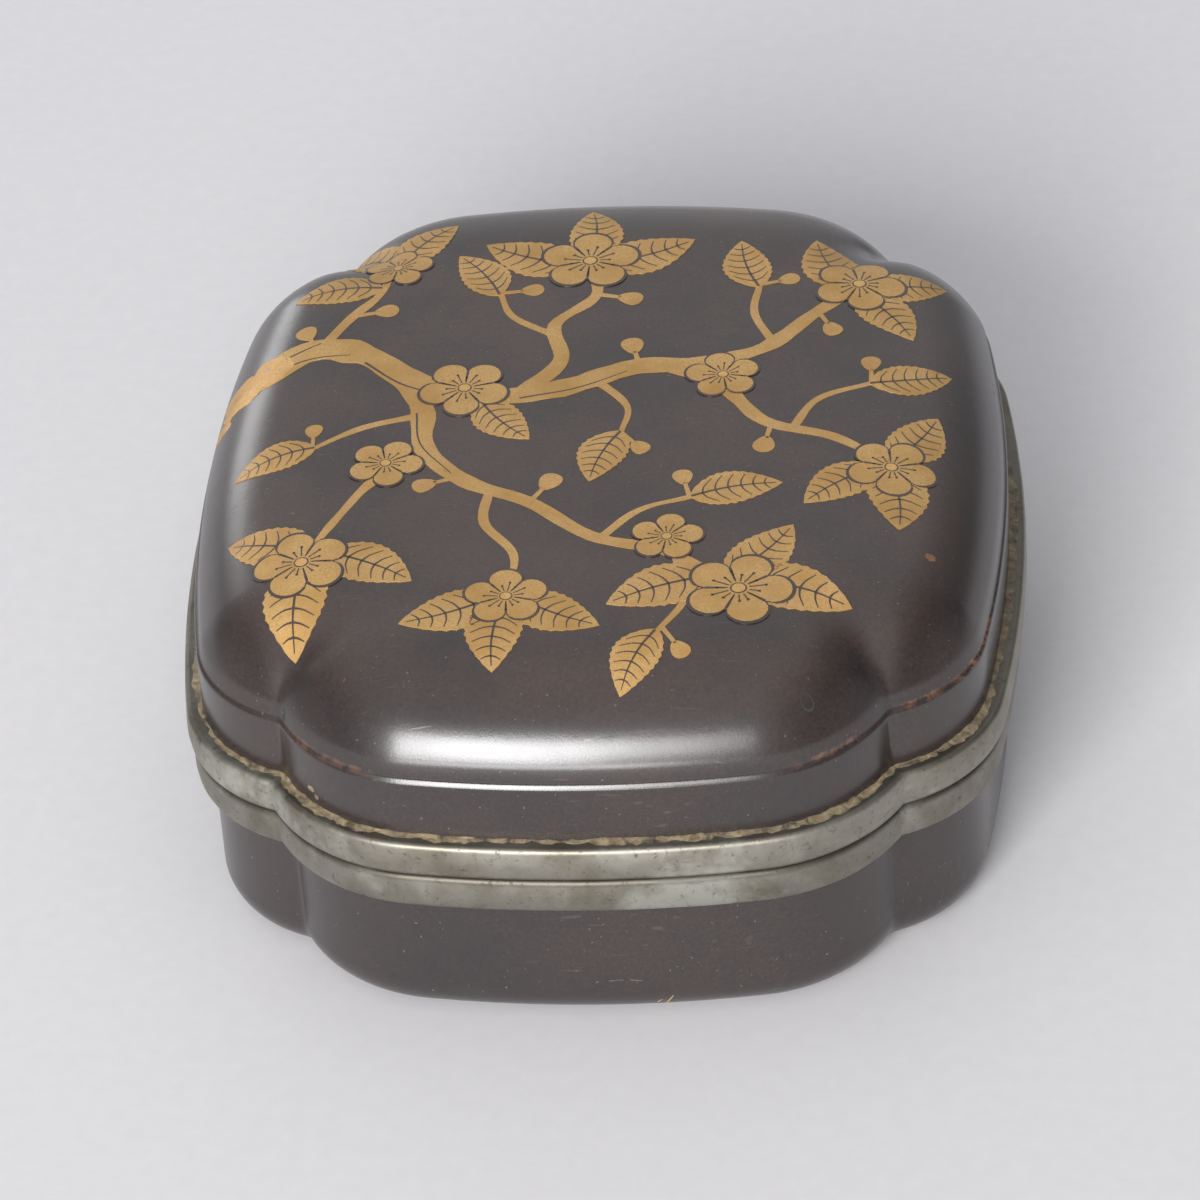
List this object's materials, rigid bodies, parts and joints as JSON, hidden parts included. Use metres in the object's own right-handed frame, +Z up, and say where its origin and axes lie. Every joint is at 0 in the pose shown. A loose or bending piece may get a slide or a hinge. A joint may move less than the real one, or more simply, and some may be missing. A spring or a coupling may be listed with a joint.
{
  "type": "lobed ink box",
  "caption": "Small lacquered writing box with a lobed plan, domed lift-off lid, metal rims, and an inkstone, water dropper, brushes, ink and paper knife inside.",
  "frame": {"origin": "on the table, under the middle of the foot", "axes": "+Z up; the front end lobe, nearest to the camera in the picture, faces -Y; +X to the right; the plan is longest along Y"},
  "size_m": [0.1042, 0.1202, 0.0474],
  "materials": {
    "base_lacquer": "satin dark lacquer over wood",
    "base_pewter": "dull pewter",
    "lip_lacquer": "black lacquer over thin wood",
    "lid_lacquer": "satin dark lacquer over wood, gold decoration",
    "lid_pewter": "dull pewter",
    "board_lacquer": "black lacquer",
    "slate": "matte slate",
    "dropper_base_metal": "aged copper alloy",
    "dropper_wall_metal": "aged copper alloy",
    "dropper_top_metal": "aged copper alloy",
    "brush_tray_lacquer": "black lacquer",
    "brush_tray_floor_lacquer": "black lacquer",
    "tool_tray_lacquer": "black lacquer",
    "tool_tray_floor_lacquer": "black lacquer",
    "front_rest_wood": "oiled",
    "back_rest_wood": "oiled",
    "large_bamboo": "smooth bamboo",
    "large_horn": "polished horn",
    "large_hair": "animal hair",
    "large_knob_horn": "polished horn",
    "small_bamboo": "smooth bamboo",
    "small_horn": "polished horn",
    "small_hair": "animal hair",
    "small_knob_horn": "polished horn",
    "ink": "moulded soot ink",
    "grip_lacquer": "lacquer",
    "collar_brass": "polished",
    "blade_steel": "ground steel"
  },
  "bodies": {
    "base": {"base_shell": "base_lacquer", "base_rim": "base_pewter", "base_lip": "lip_lacquer"},
    "lid": {"lid_shell": "lid_lacquer", "lid_rim": "lid_pewter"},
    "board": {"inkstone_board": "board_lacquer"},
    "stone": {"inkstone": "slate"},
    "dropper": {"dropper_base": "dropper_base_metal", "dropper_wall": "dropper_wall_metal", "dropper_top": "dropper_top_metal"},
    "brush_tray": {"brush_tray_wall": "brush_tray_lacquer", "brush_tray_floor": "brush_tray_floor_lacquer", "front_brush_rest": "front_rest_wood", "back_brush_rest": "back_rest_wood"},
    "tool_tray": {"tool_tray_wall": "tool_tray_lacquer", "tool_tray_floor": "tool_tray_floor_lacquer"},
    "large_brush": {"large_brush_shaft": "large_bamboo", "large_brush_sleeve": "large_horn", "large_brush_tuft": "large_hair", "large_brush_knob": "large_knob_horn"},
    "small_brush": {"small_brush_shaft": "small_bamboo", "small_brush_sleeve": "small_horn", "small_brush_tuft": "small_hair", "small_brush_knob": "small_knob_horn"},
    "ink": {"ink_stick": "ink"},
    "knife": {"knife_grip": "grip_lacquer", "knife_collar": "collar_brass", "knife_blade": "blade_steel"}
  },
  "joints": [
    {"name": "lid_lift", "type": "slide", "parent": "base", "child": "lid", "axis": [0, 0, 1], "range_m": [0, 0.06]},
    {"name": "board_lift", "type": "slide", "parent": "base", "child": "board", "axis": [0, 0, 1], "range_m": [0, 0.01]},
    {"name": "inkstone_lift", "type": "slide", "parent": "board", "child": "stone", "axis": [0, 0, 1], "range_m": [0, 0.018]},
    {"name": "dropper_lift", "type": "slide", "parent": "board", "child": "dropper", "axis": [0, 0, 1], "range_m": [0, 0.016]},
    {"name": "brush_tray_lift", "type": "slide", "parent": "base", "child": "brush_tray", "axis": [0, 0, 1], "range_m": [0, 0.01]},
    {"name": "tool_tray_lift", "type": "slide", "parent": "base", "child": "tool_tray", "axis": [0, 0, 1], "range_m": [0, 0.01]},
    {"name": "large_brush_lift", "type": "slide", "parent": "brush_tray", "child": "large_brush", "axis": [0, 0, 1], "range_m": [0, 0.01]},
    {"name": "small_brush_lift", "type": "slide", "parent": "brush_tray", "child": "small_brush", "axis": [0, 0, 1], "range_m": [0, 0.01]},
    {"name": "ink_stick_lift", "type": "slide", "parent": "tool_tray", "child": "ink", "axis": [0, 0, 1], "range_m": [0, 0.01]},
    {"name": "knife_lift", "type": "slide", "parent": "tool_tray", "child": "knife", "axis": [0, 0, 1], "range_m": [0, 0.01]}
  ]
}
